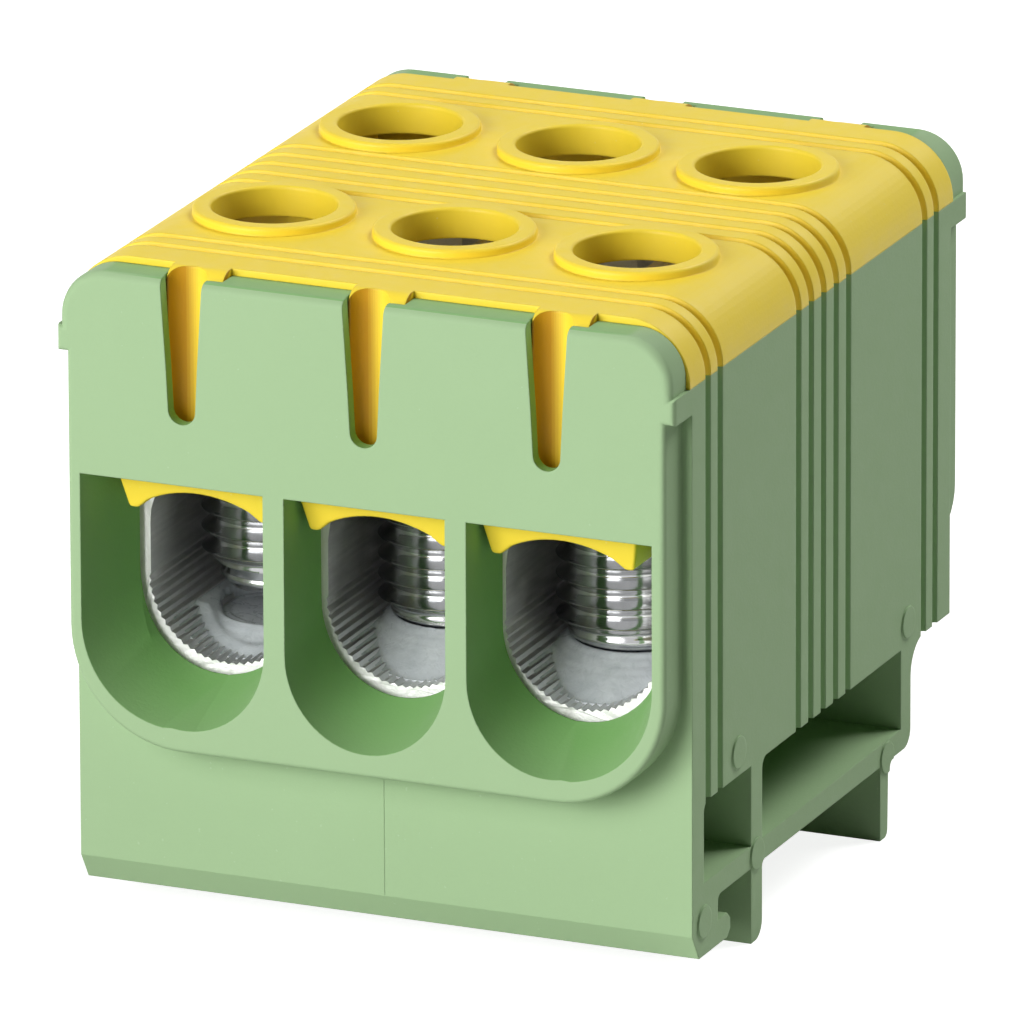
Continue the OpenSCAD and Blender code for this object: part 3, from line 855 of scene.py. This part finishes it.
for row, y in ROWS:
    for k, x in enumerate(BORES):
        name = f"grease_{row}_{k + 1}"
        phase = 0.7 + 1.9 * k + (2.3 if row == "rear" else 0.0)
        # The grease below the raised screw lies low enough for the screw to come down
        height, gap = (LOW_HEAP, LOW_GAP) if name == "grease_front_1" else (GREASE_HEAP, HEAP_GAP)
        mesh = grease_mesh(name, x, y, phase, height, gap)
        add_piece(name, mesh, "block", GREASE, 60.0)


# Fine mould line down the middle of the lower front wall

LINE_SIZE = (0.05, 0.03, 8.6)
LINE_Z = 8.0

line_mesh = bpy.data.meshes.new("mould_line")
with editing(line_mesh) as bm:
    bmesh.ops.create_cube(bm, size=1.0)
    bm.transform(Matrix.Translation(Vector((0, -FRONT_Y, LINE_Z)) * MM)
                 @ Matrix.Diagonal([length * MM for length in LINE_SIZE] + [1]))
add_piece("mould_line", line_mesh, "block", GREEN)


# Camera at the photograph's angle, with lengths in the picture in pixels

AZIMUTH, ELEVATION, ROLL = math.radians(23.26), math.radians(17.75), math.radians(-0.21)
DISTANCE = 1.193
FOCAL = 17886.0
PICTURE = 1024
SENSOR = 36.0
TARGET = Vector((0.0, 0.0, 0.02527))
SHIFT_X, SHIFT_Y = 6.2, 24.6


def camera_place():
    """Matrix of the camera: its right, upward and backward directions and its eye point."""
    back = Vector((math.sin(AZIMUTH) * math.cos(ELEVATION), -math.cos(AZIMUTH) * math.cos(ELEVATION),
                   math.sin(ELEVATION)))
    side = Vector((math.cos(AZIMUTH), math.sin(AZIMUTH), 0.0))
    up = side.cross(-back)
    aim = TARGET - (side * SHIFT_X + up * SHIFT_Y) * (DISTANCE / FOCAL)
    eye = TARGET + back * DISTANCE
    look = (eye - aim).normalized()
    across = (side - look * side.dot(look)).normalized()
    right = across * math.cos(ROLL) + look.cross(across) * math.sin(ROLL)
    tall = look.cross(right)
    return Matrix.Translation(eye) @ Matrix((right, tall, look)).transposed().to_4x4()


camera = bpy.data.objects.new("camera", bpy.data.cameras.new("camera"))
camera.data.sensor_width = SENSOR
camera.data.lens = FOCAL / PICTURE * SENSOR
camera.data.clip_start, camera.data.clip_end = 0.01, 20.0
camera.matrix_world = camera_place()
scene.collection.objects.link(camera)
scene.camera = camera


# Floor, lamps and world

FLOOR_HALF = 6.0
FLOOR_LIFT = 0.85
MIDDLE_Z = 0.022
SKY = 0.0


def white_floor():
    """White floor: camera and glossy rays see it lifted to white, and the shadow stays."""
    n = Nodes(bpy.data.materials.new("floor_white"))
    grain = n.span(n.noise(n.object_coords(), 30.0), (0.3, 0.7), (0.59, 0.61))
    grey = n.add("ShaderNodeCombineColor", {"Red": grain, "Green": grain, "Blue": grain})
    paint = n.add("ShaderNodeBsdfDiffuse", {"Color": grey.outputs["Color"]})
    lift = n.add("ShaderNodeEmission", {
        "Color": rgba(1, 1, 1), "Strength": n.math("MULTIPLY", n.seen(), FLOOR_LIFT)})
    return n.finish(n.add("ShaderNodeAddShader", {0: paint.outputs[0], 1: lift.outputs[0]}))


def white_world():
    """World that looks white and lights the object no more than the sky's strength."""
    n = Nodes(bpy.data.worlds.new("studio"), "ShaderNodeOutputWorld")
    soft = n.add("ShaderNodeBackground", {"Color": rgba(1, 1, 1), "Strength": SKY})
    white = n.add("ShaderNodeBackground", {"Color": rgba(1, 1, 1), "Strength": 1.0})
    return n.finish(n.add("ShaderNodeMixShader", {0: n.seen(), 1: soft.outputs[0], 2: white.outputs[0]}))


def lamp(name, azimuth, elevation, size, power, distance=0.8):
    """Soft lamp at an angle round the object from its front, seen from above, and over the floor."""
    a, e = math.radians(azimuth), math.radians(elevation)
    towards = Vector((math.sin(a) * math.cos(e), -math.cos(a) * math.cos(e), math.sin(e)))
    data = bpy.data.lights.new(name, "AREA")
    data.shape = "RECTANGLE"
    data.size, data.size_y = size
    data.energy = power
    obj = bpy.data.objects.new(name, data)
    obj.location = Vector((0, 0, MIDDLE_Z)) + towards * distance
    obj.rotation_mode = "QUATERNION"
    obj.rotation_quaternion = towards.to_track_quat("Z", "Y")
    scene.collection.objects.link(obj)


floor_mesh = bpy.data.meshes.new("floor")
floor_mesh.from_pydata([(-FLOOR_HALF, -FLOOR_HALF, 0), (FLOOR_HALF, -FLOOR_HALF, 0),
                        (FLOOR_HALF, FLOOR_HALF, 0), (-FLOOR_HALF, FLOOR_HALF, 0)], [], [(0, 1, 2, 3)])
floor_mesh.materials.append(white_floor())
floor = bpy.data.objects.new("floor", floor_mesh)
scene.collection.objects.link(floor)

lamp("key", azimuth=-22, elevation=13, size=(0.55, 0.40), power=4.3)
lamp("high", azimuth=-20, elevation=28, size=(0.40, 0.40), power=2.5)
lamp("back", azimuth=146, elevation=50, size=(0.40, 0.40), power=4.3)

scene.world = white_world()
scene.view_settings.view_transform = "Standard"

bpy.context.view_layer.update()
